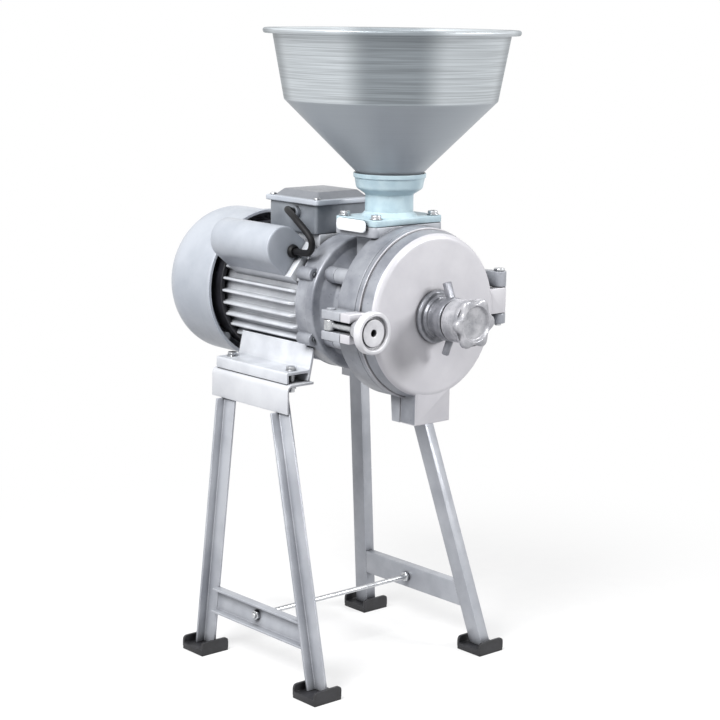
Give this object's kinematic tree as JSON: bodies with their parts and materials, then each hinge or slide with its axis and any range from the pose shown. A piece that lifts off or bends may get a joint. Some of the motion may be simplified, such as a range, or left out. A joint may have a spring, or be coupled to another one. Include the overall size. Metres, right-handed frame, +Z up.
{
  "type": "electric spice grinder",
  "caption": "Floor-standing disc mill for spices: finned motor, hinged grinding head with hopper and feed gate, disc adjuster, swing clamp and splayed stand.",
  "frame": {"origin": "on the floor, under the middle of the machine's overall box", "axes": "+Z up, +Y along the shaft from the mill door to the motor fan, +X to the door's hinge side"},
  "size_m": [0.3042, 0.48, 0.76],
  "materials": {
    "rail_steel": "pale satin paint",
    "stand_paint": "silver-grey satin paint",
    "shoe_plastic": "moulded black",
    "zinc": "bright zinc plate",
    "motor_paint": "silver paint on cast aluminium",
    "winding": "varnished copper and lamination steel",
    "dark_iron": "dark cast iron",
    "black_plastic": "moulded black",
    "capacitor_case": "white case",
    "black_rubber": "soft black sleeving",
    "mill_casting": "silver paint on cast iron",
    "door_paint": "pale grey satin paint",
    "seat_paint": "pale cyan paint",
    "gate_enamel": "white enamel",
    "spun_metal": "spun and polished"
  },
  "bodies": {
    "machine": {"rail_right": "rail_steel", "rail_left": "rail_steel", "crossbar_right": "stand_paint", "crossbar_left": "stand_paint", "front_leg_right": "stand_paint", "front_leg_left": "stand_paint", "rear_leg_right": "stand_paint", "rear_leg_left": "stand_paint", "front_shoe_right": "shoe_plastic", "front_shoe_left": "shoe_plastic", "rear_shoe_right": "shoe_plastic", "rear_shoe_left": "shoe_plastic", "tie_rod": "zinc", "foot_bolt_right_1": "zinc", "foot_bolt_right_2": "zinc", "foot_bolt_left_1": "zinc", "foot_bolt_left_2": "zinc", "front_bearing": "zinc", "rear_bearing": "zinc", "hinge_pin": "zinc", "seat_bolt_1": "zinc", "seat_bolt_2": "zinc", "seat_bolt_3": "zinc", "seat_bolt_4": "zinc", "motor_foot_right": "motor_paint", "motor_foot_left": "motor_paint", "stator_frame": "motor_paint", "front_shield": "motor_paint", "rear_shield": "motor_paint", "fan_cover": "motor_paint", "capacitor_cover": "motor_paint", "terminal_box": "motor_paint", "terminal_lid": "motor_paint", "stator_pack": "winding", "terminal_block": "black_plastic", "cable_gland": "black_plastic", "capacitor": "capacitor_case", "lead_grommet": "black_rubber", "capacitor_lead": "black_rubber", "shaft_seal": "black_rubber", "mill_body": "mill_casting", "hopper_seat": "seat_paint", "hopper": "spun_metal"},
    "rotor": {"main_shaft": "zinc", "rotor_core": "dark_iron", "cooling_fan": "black_plastic", "auger": "dark_iron", "disc_carrier": "dark_iron", "rotating_disc": "dark_iron"},
    "gate": {"feed_gate": "gate_enamel"},
    "mill_door": {"door": "door_paint", "door_boss": "mill_casting"},
    "feed_carriage": {"disc_plate": "dark_iron", "fixed_disc": "dark_iron"},
    "adjuster": {"handwheel": "door_paint", "adjusting_spindle": "zinc"},
    "lock": {"lock_ring": "mill_casting"},
    "clamp_bolt": {"swing_bolt": "zinc"},
    "clamp_washer": {"clamp_nose": "zinc"},
    "clamp_wheel": {"clamp_knob": "door_paint"}
  },
  "joints": [
    {"name": "rotor_spin", "type": "hinge", "parent": "machine", "child": "rotor", "pos_m": [0, -0.02325, 0.44], "axis": [0, 1, 0], "continuous": true},
    {"name": "feed_gate_slide", "type": "slide", "parent": "machine", "child": "gate", "axis": [-1, 0, 0], "range_m": [0, 0.05]},
    {"name": "door_swing", "type": "hinge", "parent": "machine", "child": "mill_door", "pos_m": [0.114, -0.16125, 0.45], "axis": [0, 0, 1], "range_deg": [0, 120]},
    {"name": "disc_feed", "type": "slide", "parent": "mill_door", "child": "feed_carriage", "axis": [0, -1, 0], "range_m": [0, 0.003]},
    {"name": "handwheel_spin", "type": "hinge", "parent": "feed_carriage", "child": "adjuster", "pos_m": [0, -0.22325, 0.44], "axis": [0, -1, 0], "range_deg": [0, 540]},
    {"name": "lock_ring_spin", "type": "hinge", "parent": "mill_door", "child": "lock", "pos_m": [0, -0.20025, 0.44], "axis": [0, -1, 0], "range_deg": [0, 90]},
    {"name": "clamp_swing", "type": "hinge", "parent": "mill_door", "child": "clamp_bolt", "pos_m": [-0.112, -0.12245, 0.435], "axis": [0, 0, -1], "range_deg": [0, 85]},
    {"name": "clamp_nose_slide", "type": "slide", "parent": "clamp_bolt", "child": "clamp_washer", "axis": [0, -1, 0], "range_m": [0, 0.004]},
    {"name": "clamp_knob_spin", "type": "hinge", "parent": "clamp_washer", "child": "clamp_wheel", "pos_m": [-0.112, -0.18125, 0.435], "axis": [0, -1, 0], "range_deg": [0, 960]}
  ],
  "couplings": [
    {"joint": "disc_feed", "follows": "handwheel_spin", "m_per_rad": 0.00031831},
    {"joint": "clamp_nose_slide", "follows": "clamp_knob_spin", "m_per_rad": 0.00023873}
  ]
}
